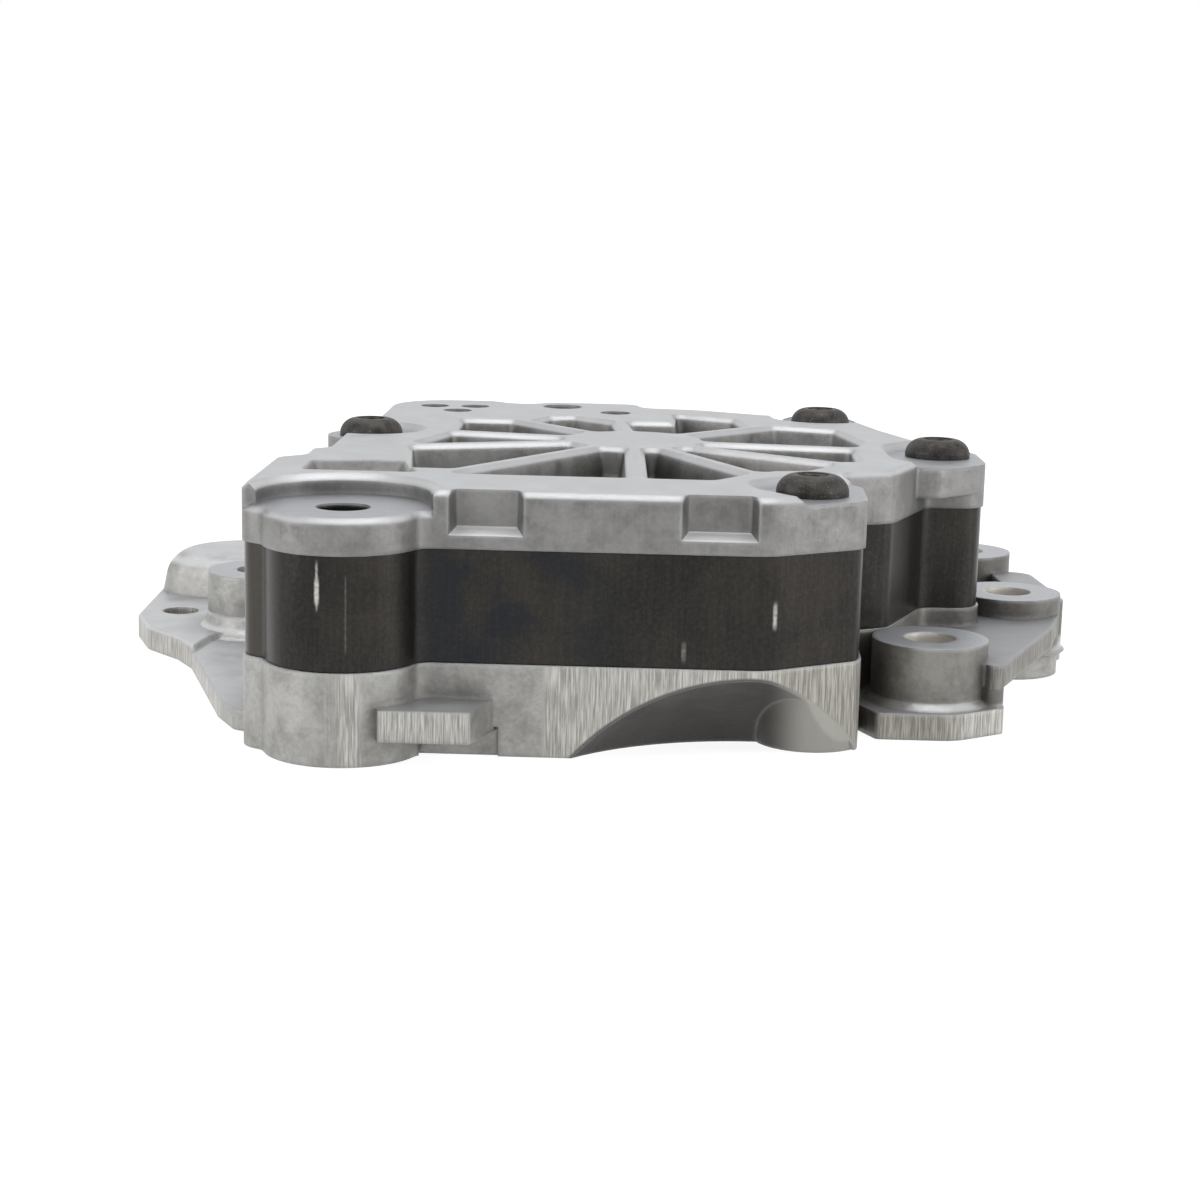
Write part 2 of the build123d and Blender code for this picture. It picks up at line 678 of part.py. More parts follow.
turned([(plug_inner_x, 0), (plug_inner_x, seat_flange_radius),
        (plug_inner_x + seat_flange, seat_flange_radius),
        (plug_inner_x + seat_flange, seat_peg_radius),
        (plug_inner_x + seat_flange + seat_peg, seat_peg_radius),
        (plug_inner_x + seat_flange + seat_peg, 0)], "spring_seat")

spring_start = plug_inner_x + seat_flange + spring_wire
spring_end = valve_seat_x - piston_crown - spring_wire
with BuildPart() as relief_spring:
    with BuildLine() as coil:
        Helix((spring_end - spring_start) / spring_turns, spring_end - spring_start,
              spring_radius, center=(spring_start, valve_y, valve_z), direction=(1, 0, 0))
    with BuildSketch(Plane(coil.line @ 0, z_dir=coil.line % 0)):
        RegularPolygon(spring_wire, spring_flats)
    sweep(path=coil.line, is_frenet=True)

save(relief_spring, "relief_spring")

# --- Screws, dowels and seals -----------------------------------------------------------------

head_top = spotface_z + screw_head_height
with BuildPart() as cover_screws:
    with BuildSketch(Plane.XZ) as screw_half:
        with BuildLine():
            Polyline((0, screw_bottom), (screw_radius, screw_bottom), (screw_radius, spotface_z),
                     (screw_head_radius, spotface_z), (screw_head_radius, spotface_z + screw_rim))
            ThreePointArc((screw_head_radius, spotface_z + screw_rim),
                          (screw_crown[0], spotface_z + screw_crown[1]),
                          (screw_head_flat, head_top))
            Polyline((screw_head_flat, head_top), (screw_socket_radius, head_top),
                     (screw_socket_radius, head_top - screw_socket_depth),
                     (0, head_top - screw_socket_depth), (0, screw_bottom))
        make_face()
    with Locations(*screw_places):
        add(revolve(screw_half.sketch, axis=Axis.Z, mode=Mode.PRIVATE))

save(cover_screws, "cover_screws")

with BuildPart() as housing_dowels:
    with Locations(*[(x, y, base_height - dowel_reach) for x, y in dowel_places]):
        Cylinder(dowel_radius, ring_height + 2 * dowel_reach, align=down_up)

save(housing_dowels, "housing_dowels")

for name, (place, radius) in zip(("inlet_seal", "outlet_seal"), seal_places):
    with BuildPart() as seal:
        with BuildSketch():
            with Locations(place):
                Circle(radius + 0.5 * seal_width)
                Circle(radius - 0.5 * seal_width, mode=Mode.SUBTRACT)
        extrude(amount=seal_height)
    save(seal, name)
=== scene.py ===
"""An engine oil pump dressed for display: die-cast aluminium base and cover, dark sintered ring,
phosphated screws, and the rotor set and relief valve inside. The scene is in metres, in the part's
own frame. From the base on, sizes and places are named in millimetres."""

import math

import bmesh
import bpy
from mathutils import Matrix, Vector


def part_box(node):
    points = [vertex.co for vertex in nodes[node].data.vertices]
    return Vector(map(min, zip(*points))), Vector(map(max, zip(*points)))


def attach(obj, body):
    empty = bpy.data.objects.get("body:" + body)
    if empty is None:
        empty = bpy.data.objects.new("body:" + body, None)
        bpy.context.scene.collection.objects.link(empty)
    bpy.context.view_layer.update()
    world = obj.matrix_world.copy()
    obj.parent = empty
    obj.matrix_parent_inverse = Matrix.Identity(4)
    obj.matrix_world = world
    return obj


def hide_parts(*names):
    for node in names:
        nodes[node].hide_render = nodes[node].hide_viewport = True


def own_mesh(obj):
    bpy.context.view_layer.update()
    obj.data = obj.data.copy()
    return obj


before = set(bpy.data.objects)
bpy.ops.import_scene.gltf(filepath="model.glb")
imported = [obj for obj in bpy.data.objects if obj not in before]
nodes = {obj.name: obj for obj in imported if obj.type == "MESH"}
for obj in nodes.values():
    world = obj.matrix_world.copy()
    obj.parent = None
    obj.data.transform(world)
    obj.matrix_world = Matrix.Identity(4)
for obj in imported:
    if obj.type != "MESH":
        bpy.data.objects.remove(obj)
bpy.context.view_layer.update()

# --- Camera, floor and light --------------------------------------------------------------------
# The pump stands on its mounting face on a white table. The lens is a short telephoto a little
# above the joint faces. A wide lamp hangs overhead, and two narrow ones edge the flanks.

camera_place = (0.003273, -0.436666, 0.096946)
camera_pitch = math.radians(10.9934)
camera_yaw = math.radians(1.2)
camera_roll = math.radians(1.2692)
camera_lens = 67.922
sensor_width = 36.0
near_clip = 0.01
lamps = [("lamp_overhead", (0.0, 0.12, 0.75), (0.70, 0.70), 2.6),
         ("lamp_left", (-0.60, -0.30, 0.22), (0.12, 0.5), 1.35),
         ("lamp_right", (0.62, -0.22, 0.25), (0.12, 0.5), 1.6)]
lamp_target = Vector((0, 0, 0.02))
room_light = 0.30
table_half_width = 3.0
table_drop = 0.0002         # keeps the table off the mounting face
table_glow = 0.88           # with the lamps' share, this makes the paper white

camera_data = bpy.data.cameras.new("camera")
camera_data.lens = camera_lens
camera_data.sensor_width = sensor_width
camera_data.clip_start = near_clip
camera = bpy.data.objects.new("camera", camera_data)
camera.matrix_world = (Matrix.Translation(camera_place)
                       @ Matrix.Rotation(camera_yaw, 4, "Z")
                       @ Matrix.Rotation(math.pi / 2 - camera_pitch, 4, "X")
                       @ Matrix.Rotation(camera_roll, 4, "Z"))
bpy.context.scene.collection.objects.link(camera)
bpy.context.scene.camera = camera
bpy.context.scene.view_settings.view_transform = "Standard"


def linear(hex_colour):
    """An sRGB hex colour as linear RGBA."""
    parts = [int(hex_colour[i:i + 2], 16) / 255 for i in (1, 3, 5)]
    return tuple(c / 12.92 if c <= 0.04045 else ((c + 0.055) / 1.055) ** 2.4
                 for c in parts) + (1.0,)


def add(tree, kind, settings=None, **links):
    """Adds a node, with its settings and its inputs: a value, or the output to link from."""
    new = tree.nodes.new(kind)
    for key, value in (settings or {}).items():
        setattr(new, key, value)
    for key, value in links.items():
        socket = new.inputs[int(key[1:]) if key[1:].isdigit() else key.replace("_", " ")]
        if isinstance(value, bpy.types.NodeSocket):
            tree.links.new(value, socket)
        else:
            socket.default_value = value
    return new


def met_by_the_eye(tree):
    """1 for rays that the eye follows: straight, through glass or off a shiny face."""
    path = add(tree, "ShaderNodeLightPath").outputs
    met = path["Is Camera Ray"]
    for kind in ("Is Transmission Ray", "Is Glossy Ray"):
        met = add(tree, "ShaderNodeMath", {"operation": "MAXIMUM"}, i0=met,
                  i1=path[kind]).outputs[0]
    return met


def show(piece, material):
    """Puts a piece in the scene, in one material."""
    piece.data.materials.append(material)
    bpy.context.scene.collection.objects.link(piece)


world = bpy.data.worlds.new("studio")
world.use_nodes = True
bpy.context.scene.world = world
air = world.node_tree
air.nodes.clear()
lit = add(air, "ShaderNodeBackground", Color=linear("#F4F6F8"), Strength=room_light)
white = add(air, "ShaderNodeBackground", Color=linear("#FFFFFF"), Strength=1.0)
room = add(air, "ShaderNodeMixShader", i0=met_by_the_eye(air), i1=lit.outputs[0],
           i2=white.outputs[0])
add(air, "ShaderNodeOutputWorld", Surface=room.outputs[0])

for name, stand, size, power in lamps:
    lamp_data = bpy.data.lights.new(name, "AREA")
    lamp_data.shape = "RECTANGLE"
    lamp_data.size, lamp_data.size_y = size
    lamp_data.energy = power
    lamp = bpy.data.objects.new(name, lamp_data)
    lamp.location = stand
    lamp.rotation_euler = (lamp_target - Vector(stand)).to_track_quat("-Z", "Y").to_euler()
    bpy.context.scene.collection.objects.link(lamp)

# Matt white paper: the eye meets it as white but for the shadow, and the pump meets a plain grey.
paper = bpy.data.materials.new("white_table")
paper.use_nodes = True
sheet = paper.node_tree
sheet.nodes.clear()
shadowed = add(sheet, "ShaderNodeBsdfDiffuse", Color=linear("#B4B4B4"))
glow = add(sheet, "ShaderNodeEmission", Color=linear("#FFFFFF"), Strength=table_glow)
seen = add(sheet, "ShaderNodeAddShader", i0=shadowed.outputs[0], i1=glow.outputs[0])
bounced = add(sheet, "ShaderNodeBsdfDiffuse", Color=linear("#9A9A9A"))
either = add(sheet, "ShaderNodeMixShader", i0=met_by_the_eye(sheet), i1=bounced.outputs[0],
             i2=seen.outputs[0])
add(sheet, "ShaderNodeOutputMaterial", Surface=either.outputs[0])

table_corners = [(x * table_half_width, y * table_half_width, 0)
                 for x, y in [(-1, -1), (1, -1), (1, 1), (-1, 1)]]
table_mesh = bpy.data.meshes.new("floor")
table_mesh.from_pydata(table_corners, [], [(0, 1, 2, 3)])
floor = bpy.data.objects.new("floor", table_mesh)
floor.location = (0, 0, -table_drop)
show(floor, paper)

# --- Base ---------------------------------------------------------------------------------------
# Pressure die-cast aluminium, trimmed in a press, tumbled, then milled underneath and faced on its
# bolt bosses. The skin is mottled, the trimmed flanks carry the shear's upright lines, the edges
# are rubbed bright, and their slopes carry a painted highlight.

millimetre = 0.001
boss_centres = [(53.5, -44.3), (74.2, 2.6), (71.5, 50.0), (-73.9, 5.3)]
boss_radius = 10.2
boss_skirt_radius = 11.7
boss_bore_limit = 6.0
joint_face = 15.5
flange_top = 4.6
scallop_centre = (22.0, -100.7, -26.5)
scallop_radius = 47.7

mottle_size = 6.25
fleck_size = 1 / 1.1
worn_edge = 1.1
crevice_reach = 7.0
trim_line_pitch = 0.30      # the shear's lines are about 0.1 mm apart, drawn coarser to show
facing_pitch = 0.9          # cut marks are 0.15 mm apart on the real face, drawn coarser to show
mill_pitch = 0.625          # as above, for the cutter's straight passes under the base
upright_squeeze = 0.05      # how slowly a line changes along its length
mill_squeeze = 0.03

# Parts of the surface, each as limits and a softness along the axes that bound it. The press cuts
# the front wall, the flange's edge and the web's rim. It leaves part of the wall as cast, apart
# from a strip of the lobe and the face of the lug.
front_wall = {"X": (-70.0, 41.0, 0.5), "Y": (-90.0, -56.0, 1.0)}
flange_edge = {"Z": (-1.0, flange_top + 0.2, 0.1)}
web_rim = {"X": (60.0, 90.0, 1.0), "Y": (-52.0, 0.0, 1.0), "Z": (7.8, 12.2, 0.1)}
as_cast = {"X": (-70.0, -13.0, 0.9), "Y": (-85.5, -40.0, 0.3)}
lobe_strip = {"X": (-45.4, -42.2, 1.1), "Y": (-90.0, -83.0, 0.5)}
lug_face = {"X": (-39.3, -20.0, 0.15), "Y": (-90.0, -84.3, 0.2)}
# The next three parts take painted shade: the flanks at the right, the right end of the front wall,
# and the web's top.
shaded_right_flanks = {"X": (57.0, 200.0, 6.0), "Z": (flange_top + 0.5, 30.0, 0.4)}
shaded_wall_end = {"X": (24.0, 58.0, 6.0)}
shaded_web_top = {"X": (42.0, 90.0, 1.0), "Z": (7.8, 12.2, 0.1)}
scallop_foot = {"X": (27.0, 60.0, 4.0)}
above_flange = {"Z": (flange_top + 0.5, 30.0, 0.4)}
at_joint = {"Z": (joint_face - 0.1, joint_face + 1.0, 0.05)}
facing_down = (-1.1, -0.9, 0.05)
boss_ring_contrast = 0.20


def begin(name):
    """A new material with an empty tree, and the place on the piece in millimetres."""
    made = bpy.data.materials.new(name)
    made.use_nodes = True
    made.node_tree.nodes.clear()
    place = add(made.node_tree, "ShaderNodeVectorMath", {"operation": "SCALE"},
                i0=add(made.node_tree, "ShaderNodeTexCoord").outputs["Object"],
                Scale=1 / millimetre)
    return made, made.node_tree, place.outputs["Vector"]


def overlap(tree, *masks):
    """1 where all of several masks are. A plain number among them weakens the result."""
    result = masks[0]
    for mask in masks[1:]:
        result = add(tree, "ShaderNodeMath", {"operation": "MULTIPLY"}, i0=result,
                     i1=mask).outputs[0]
    return result


def between(tree, value, low, high, soft):
    """1 where a value lies between two limits, falling to 0 over a soft edge."""
    rise = add(tree, "ShaderNodeMapRange", {"interpolation_type": "SMOOTHSTEP"}, Value=value,
               From_Min=low - soft, From_Max=low + soft, To_Min=0.0, To_Max=1.0)
    fall = add(tree, "ShaderNodeMapRange", {"interpolation_type": "SMOOTHSTEP"}, Value=value,
               From_Min=high - soft, From_Max=high + soft, To_Min=1.0, To_Max=0.0)
    return overlap(tree, rise.outputs[0], fall.outputs[0])


def within(tree, distance, reach, soft):
    """1 where a distance is within a reach, falling to 0 over a soft edge."""
    return between(tree, distance, -1.0, reach, soft)


def inside(tree, at, part):
    """1 inside a part of the surface, given by its limits and softness along some axes."""
    return overlap(tree, *[between(tree, at[axis], *span) for axis, span in part.items()])


def tinted(tree, base, layers):
    """Lays colours over a base, each where its mask says."""
    for mask, colour in layers:
        base = add(tree, "ShaderNodeMix", {"data_type": "RGBA"}, i0=mask, i6=base,
                   i7=linear(colour) if isinstance(colour, str) else colour).outputs[2]
    return base


def cast_surface(tree, place):
    """Masks that both castings share: mottling, flecks, rubbed edges, level faces, painted shade in
    hollows, and rubbed slopes with a painted highlight.
    """
    cloud = add(tree, "ShaderNodeTexNoise", None, Vector=place, Scale=1 / mottle_size, Detail=6.0,
                Roughness=0.62)
    fleck = add(tree, "ShaderNodeTexNoise", None, Vector=place, Scale=1 / fleck_size, Detail=4.0,
                Roughness=0.7)
    mottle = add(tree, "ShaderNodeMapRange", None, Value=cloud.outputs["Fac"], From_Min=0.32,
                 From_Max=0.66, To_Min=0.0, To_Max=1.0)
    speck = add(tree, "ShaderNodeMapRange", None, Value=fleck.outputs["Fac"], From_Min=0.36,
                From_Max=0.66, To_Min=0.0, To_Max=1.0)
    rounded = add(tree, "ShaderNodeBevel", {"samples": 3}, Radius=worn_edge * millimetre)
    flat_normal = add(tree, "ShaderNodeNewGeometry").outputs["True Normal"]
    turn = add(tree, "ShaderNodeVectorMath", {"operation": "DOT_PRODUCT"},
               i0=rounded.outputs[0], i1=flat_normal)
    bend = add(tree, "ShaderNodeMapRange", None, Value=turn.outputs["Value"], From_Min=0.99,
               From_Max=0.85, To_Min=0.0, To_Max=0.6)
    crevice = add(tree, "ShaderNodeAmbientOcclusion", {"samples": 2, "only_local": True},
                  Distance=crevice_reach * millimetre)
    open_air = add(tree, "ShaderNodeMapRange", None, Value=crevice.outputs["AO"], From_Min=0.60,
                   From_Max=0.88, To_Min=0.0, To_Max=1.0)
    # Painted shade: faces closed in by nearby walls are darkened, as shade falls in recesses and
    # crevices.
    hollow = add(tree, "ShaderNodeMapRange", None, Value=crevice.outputs["AO"], From_Min=0.80,
                 From_Max=0.15, To_Min=0.0, To_Max=0.9)
    facing = add(tree, "ShaderNodeSeparateXYZ", None, i0=rounded.outputs[0])
    level = add(tree, "ShaderNodeMapRange", None, Value=facing.outputs["Z"], From_Min=0.78,
                From_Max=0.96, To_Min=0.0, To_Max=1.0)
    # Slopes between about 35 and 55 degrees off level, the rounded chamfers, are rubbed smooth and
    # carry a painted highlight.
    rubbed_slope_highlight = between(tree, facing.outputs["Z"], 0.58, 0.80, 0.10)
    upward = add(tree, "ShaderNodeSeparateXYZ", None, i0=flat_normal)
    return {"mottle": mottle.outputs[0], "grain": fleck.outputs["Fac"],
            "fleck": overlap(tree, speck.outputs[0], mottle.outputs[0]),
            "normal": rounded.outputs[0], "hollow": hollow.outputs[0],
            "level": level.outputs[0], "upward": upward.outputs["Z"],
            "edge": overlap(tree, bend.outputs[0], open_air.outputs[0]),
            "rubbed_slope_highlight": overlap(tree, rubbed_slope_highlight, open_air.outputs[0])}


def upright_lines(tree, place, pitch):
    """Lines drawn straight up a flank, as noise stretched along Z."""
    stretched = add(tree, "ShaderNodeMapping", None, Vector=place, Scale=(1, 1, upright_squeeze))
    return add(tree, "ShaderNodeTexNoise", None, Vector=stretched.outputs[0], Scale=1 / pitch,
               Detail=3.0, Roughness=0.6).outputs["Fac"]


def nearest_of(tree, place, centres):
    """Distance in plan to the nearest of several centres."""
    plan = add(tree, "ShaderNodeVectorMath", {"operation": "MULTIPLY"}, i0=place, i1=(1, 1, 0))
    distances = [add(tree, "ShaderNodeVectorMath", {"operation": "DISTANCE"},
                     i0=plan.outputs[0], i1=(x, y, 0)).outputs["Value"] for x, y in centres]
    nearest = distances[0]
    for distance in distances[1:]:
        nearest = add(tree, "ShaderNodeMath", {"operation": "MINIMUM"}, i0=nearest,
                      i1=distance).outputs[0]
    return nearest


def cutter_rings(tree, distance, strength):
    """Rings that a facing cutter leaves round its centre, from 0 up to a strength."""
    turns = add(tree, "ShaderNodeMath", {"operation": "MULTIPLY"}, i0=distance,
                i1=2 * math.pi / facing_pitch)
    wave = add(tree, "ShaderNodeMath", {"operation": "SINE"}, i0=turns.outputs[0])
    return add(tree, "ShaderNodeMapRange", None, Value=wave.outputs[0], From_Min=-1.0,
               From_Max=1.0, To_Min=0.0, To_Max=strength).outputs[0]


def polished(tree, skin, dull, smooth):
    """Roughness of a casting: dull and uneven on its skin, smooth where its edges are rubbed."""
    skin_rough = add(tree, "ShaderNodeMapRange", None, Value=skin["mottle"], From_Min=0.0,
                     From_Max=1.0, To_Min=dull - 0.06, To_Max=dull + 0.06)
    return add(tree, "ShaderNodeMix", {"data_type": "FLOAT"}, i0=skin["rubbed_slope_highlight"],
               i2=skin_rough.outputs[0], i3=smooth).outputs[0]


def metal(tree, colour, rough, metallic, height, depth, normal):
    """Ends a metal's tree: its colour, roughness and bump, on the standard shader."""
    bump = add(tree, "ShaderNodeBump", None, Strength=0.6, Distance=depth * millimetre,
               Height=height, Normal=normal)
    shader = add(tree, "ShaderNodeBsdfPrincipled", None, Base_Color=colour, Roughness=rough,
                 Metallic=metallic, Normal=bump.outputs[0])
    add(tree, "ShaderNodeOutputMaterial", Surface=shader.outputs[0])


def wear(node_name, material):
    """Gives a carried-over node one material all over."""
    mesh = nodes[node_name].data
    mesh.materials.clear()
    mesh.materials.append(material)


# Die-cast aluminium, as trimmed: satin grey skin, pale sheared flanks, brownish painted shade in
# the scallop, and bright cut faces that show the cutter's rings or its straight passes.
trimmed_casting, tree, place = begin("die_cast_aluminium_trimmed")
skin = cast_surface(tree, place)
at = add(tree, "ShaderNodeSeparateXYZ", None, i0=place).outputs
flank = add(tree, "ShaderNodeMath", {"operation": "SUBTRACT"}, i0=1.0,
            i1=skin["level"]).outputs[0]
from_boss = nearest_of(tree, place, boss_centres)
from_ball = add(tree, "ShaderNodeVectorMath", {"operation": "DISTANCE"}, i0=place,
                i1=scallop_centre)
in_scallop = add(tree, "ShaderNodeMapRange", None, Value=from_ball.outputs["Value"],
                 From_Min=scallop_radius + 0.1, From_Max=scallop_radius + 0.5, To_Min=1.0,
                 To_Max=0.0).outputs[0]

cut = inside(tree, at, front_wall)
for part in (flange_edge, web_rim):
    cut = add(tree, "ShaderNodeMath", {"operation": "MAXIMUM"}, i0=cut,
              i1=inside(tree, at, part)).outputs[0]
cut_again = add(tree, "ShaderNodeMath", {"operation": "MAXIMUM"}, i0=inside(tree, at, lobe_strip),
                i1=inside(tree, at, lug_face))
left_alone = add(tree, "ShaderNodeMath", {"operation": "SUBTRACT", "use_clamp": True},
                 i0=inside(tree, at, as_cast), i1=cut_again.outputs[0])
trimmed = add(tree, "ShaderNodeMath", {"operation": "SUBTRACT"}, i0=1.0, i1=left_alone.outputs[0])
off_scallop = add(tree, "ShaderNodeMath", {"operation": "SUBTRACT"}, i0=1.0, i1=in_scallop)
off_boss = add(tree, "ShaderNodeMath", {"operation": "GREATER_THAN"}, i0=from_boss,
               i1=boss_skirt_radius)
sheared = overlap(tree, flank, trimmed.outputs[0], off_scallop.outputs[0], off_boss.outputs[0],
                  cut)
shear_lines = upright_lines(tree, place, trim_line_pitch)
streak = add(tree, "ShaderNodeMapRange", None, Value=shear_lines, From_Min=0.40, From_Max=0.62,
             To_Min=0.0, To_Max=1.0).outputs[0]

colour = tinted(tree, linear("#898885"), [
    (skin["mottle"], "#B0AFAB"), (skin["fleck"], "#BAB9B5"),
    (sheared, tinted(tree, linear("#9A9892"), [(streak, "#D2D0CB")]))])
# Painted shade: the flanks at the right and the right end of the front wall are darkened.
for part, tone in [(shaded_right_flanks, "#B4B2AF"), (shaded_wall_end, "#DCDAD6")]:
    colour = add(tree, "ShaderNodeMix", {"data_type": "RGBA", "blend_type": "MULTIPLY"},
                 i0=overlap(tree, flank, inside(tree, at, part)), i6=colour,
                 i7=linear(tone)).outputs[2]

faced = overlap(tree, skin["level"], inside(tree, at, at_joint))
boss_rings = cutter_rings(tree, from_boss, boss_ring_contrast)
bore_wall = overlap(tree, flank, within(tree, from_boss, boss_bore_limit, soft=0.2),
                    inside(tree, at, above_flange))
underside = between(tree, skin["upward"], *facing_down)
passes = add(tree, "ShaderNodeMapping", None, Vector=place, Scale=(mill_squeeze, 1, 1))
mill_marks = add(tree, "ShaderNodeTexNoise", None, Vector=passes.outputs[0],
                 Scale=1 / mill_pitch, Detail=3.0).outputs["Fac"]
mill_tone = add(tree, "ShaderNodeMapRange", None, Value=mill_marks, From_Min=0.35, From_Max=0.65,
                To_Min=0.0, To_Max=0.5).outputs[0]
# Painted light and shade: level faces are paler than the flanks, as lit from above, and the web's
# top is darker, as in shade. Hollows and the scallop get painted shade, slopes a painted highlight.
colour = tinted(tree, colour, [
    (skin["level"], tinted(tree, linear("#B6B7BA"), [(skin["mottle"], "#C6C7C9"),
                                                     (inside(tree, at, shaded_web_top), "#9B9C9F")])),
    # Painted shade in the scallop, dark brownish grey, less dark over its right foot.
    (in_scallop, tinted(tree, linear("#3A3836"), [(inside(tree, at, scallop_foot), "#A19F99")])),
    (faced, tinted(tree, linear("#ABADB2"), [(boss_rings, "#C9CBCE")])),
    (skin["hollow"], "#5A5855"), (skin["rubbed_slope_highlight"], "#D6D7D8"), (skin["edge"], "#C4C5C6"),
    (bore_wall, "#DDDAD3"),
    (underside, tinted(tree, linear("#A2A3A6"), [(mill_tone, "#BEBFC1")]))])
height = skin["grain"]
for mask, marks in [(sheared, shear_lines), (underside, mill_marks)]:
    height = add(tree, "ShaderNodeMix", {"data_type": "FLOAT"}, i0=mask, i2=height,
                 i3=marks).outputs[0]
metal(tree, colour, polished(tree, skin, dull=0.48, smooth=0.26), metallic=0.65,
      height=height, depth=0.12, normal=skin["normal"])
wear("base_housing", trimmed_casting)


def bridge(shape, rows, smooth):
    """Joins closed rows of vertices, one after another, with four-sided faces."""
    for row, following in zip(rows, rows[1:]):
        for corner in range(len(row)):
            after = (corner + 1) % len(row)
            face = shape.faces.new((row[corner], row[after], following[after],
                                    following[corner]))
            face.smooth = smooth


def finished_object(name, shape):
    """An object made of a finished shape, with its faces pointing outwards."""
    bmesh.ops.recalc_face_normals(shape, faces=shape.faces)
    mesh = bpy.data.meshes.new(name)
    shape.to_mesh(mesh)
    shape.free()
    return bpy.data.objects.new(name, mesh)


def lofted(name, rows, joined):
    """A smooth piece through rows of points: joined into a ring, or with a face at each end."""
    shape = bmesh.new()
    loops = [[shape.verts.new([c * millimetre for c in point]) for point in row] for row in rows]
    bridge(shape, loops + loops[:1] if joined else loops, smooth=True)
    if not joined:
        shape.faces.new(loops[0])
        shape.faces.new(loops[-1])
    return finished_object(name, shape)


def hollow_quarter(reach, bite, sink, clearance, lean=0.0):
    """Outline of a cast fillet, in steps out from a wall and up from its foot, sunk into both."""
    outline = []
    for step in range(fillet_steps + 1):
        swing = 0.5 * math.pi * step / fillet_steps
        rise = reach * (1 - math.cos(swing))
        outline.append((reach * (1 - math.sin(swing)) - rise * lean + clearance, rise))
    return outline + [(-bite, reach), (-bite, -sink), (reach + clearance, -sink)]


# The left boss stands on a cast fillet over the sunk face of its ear.
fillet_steps = 8
fillet_segments = 96
fillet_reach = 4.0
fillet_bite = 0.4
fillet_sink = 0.2
fillet_clearance = 0.02
ear_hollow_level = 3.7
boss_x, boss_y = boss_centres[3]

outline = hollow_quarter(fillet_reach, fillet_bite, fillet_sink, fillet_clearance)
turns = [2 * math.pi * segment / fillet_segments for segment in range(fillet_segments)]
rings = []
for out, up in outline:
    radius = boss_radius + out
    rings.append([(boss_x + radius * math.cos(turn), boss_y + radius * math.sin(turn),
                   ear_hollow_level + up) for turn in turns])
boss_fillet = lofted("boss_foot_fillet", rings, joined=True)
show(boss_fillet, trimmed_casting)
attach(boss_fillet, "housing")

# Another runs along the rear foot of the domed passage, where its wall is thinnest.
dome_foot_y = 58.0
dome_lean = math.tan(math.radians(12.0))
bead_left = -84.0
bead_right = -46.0
bead_reach = 1.5
bead_least_reach = 0.02
bead_sections = 60
bead_fullness = 0.25        # nearer 0, the bead keeps its width longer before it runs out
bead_bite = 0.7
bead_sink = 0.1

sections = []
for section in range(bead_sections + 1):
    along = section / bead_sections
    x = bead_left + along * (bead_right - bead_left)
    swell = max(math.sin(math.pi * along), 0.0) ** bead_fullness
    outline = hollow_quarter(bead_reach * swell + bead_least_reach, bead_bite, bead_sink, 0.0,
                             dome_lean)
    sections.append([(x, dome_foot_y + out, flange_top + up) for out, up in outline])
dome_fillet = lofted("dome_foot_fillet", sections, joined=False)
show(dome_fillet, trimmed_casting)
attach(dome_fillet, "housing")

# --- Seals --------------------------------------------------------------------------------------
# Two moulded fluoro-rubber rings, pressed by hand into the grooves round the oil openings in the
# mounting face. Matt black, with a faint bloom.

bloom_size = 2.0
peel_size = 0.25

# Moulded rubber: near black and dull, with a fine orange-peel texture.
fluoro_rubber, tree, place = begin("moulded_fluoro_rubber")
bloom = add(tree, "ShaderNodeTexNoise", None, Vector=place, Scale=1 / bloom_size, Detail=4.0,
            Roughness=0.6)
peel = add(tree, "ShaderNodeTexNoise", None, Vector=place, Scale=1 / peel_size, Detail=2.0)
bump = add(tree, "ShaderNodeBump", None, Strength=0.3, Distance=0.03 * millimetre,
           Height=peel.outputs["Fac"])
shader = add(tree, "ShaderNodeBsdfPrincipled", None, Roughness=0.62, IOR=1.5,
             Base_Color=tinted(tree, linear("#151414"), [(bloom.outputs["Fac"], "#2B2927")]),
             Normal=bump.outputs[0])
add(tree, "ShaderNodeOutputMaterial", Surface=shader.outputs[0])
for seal in ("inlet_seal", "outlet_seal"):
    wear(seal, fluoro_rubber)

# --- Bushes -------------------------------------------------------------------------------------
# Sintered bronze sleeves that carry the drive shaft, one in the base and one in the cover. Each is
# soaked in oil and pressed into its bore.

bronze_cloud_size = 1 / 0.3
pore_spacing = 1 / 2.6      # real pores are a few hundredths of a millimetre, drawn coarser to show

# Sintered bronze: brown gold, dull from its oil, with open pores.
bush_bronze, tree, place = begin("sintered_bronze")
cloud = add(tree, "ShaderNodeTexNoise", None, Vector=place, Scale=1 / bronze_cloud_size,
            Detail=4.0)
pores = add(tree, "ShaderNodeTexVoronoi", None, Vector=place, Scale=1 / pore_spacing)
solid = add(tree, "ShaderNodeMapRange", None, Value=pores.outputs["Distance"], From_Min=0.05,
            From_Max=0.28, To_Min=0.0, To_Max=1.0).outputs[0]
bronze = tinted(tree, linear("#93703F"), [(cloud.outputs["Fac"], "#B08A55")])
metal(tree, tinted(tree, linear("#4A3823"), [(solid, bronze)]), rough=0.42, metallic=0.85,
      height=solid, depth=0.05, normal=add(tree, "ShaderNodeNewGeometry").outputs["Normal"])
for bush in ("base_bush", "cover_bush"):
    wear(bush, bush_bronze)

# --- Dowels -------------------------------------------------------------------------------------
# Two hardened steel pins, ground between wheels, that line up base, ring and cover. They are a
# drive fit in all three.

lay_squeeze = 0.03          # how slowly a ground lay changes along its lines
sheen_size = 1 / 0.12
ground_edge = 0.25


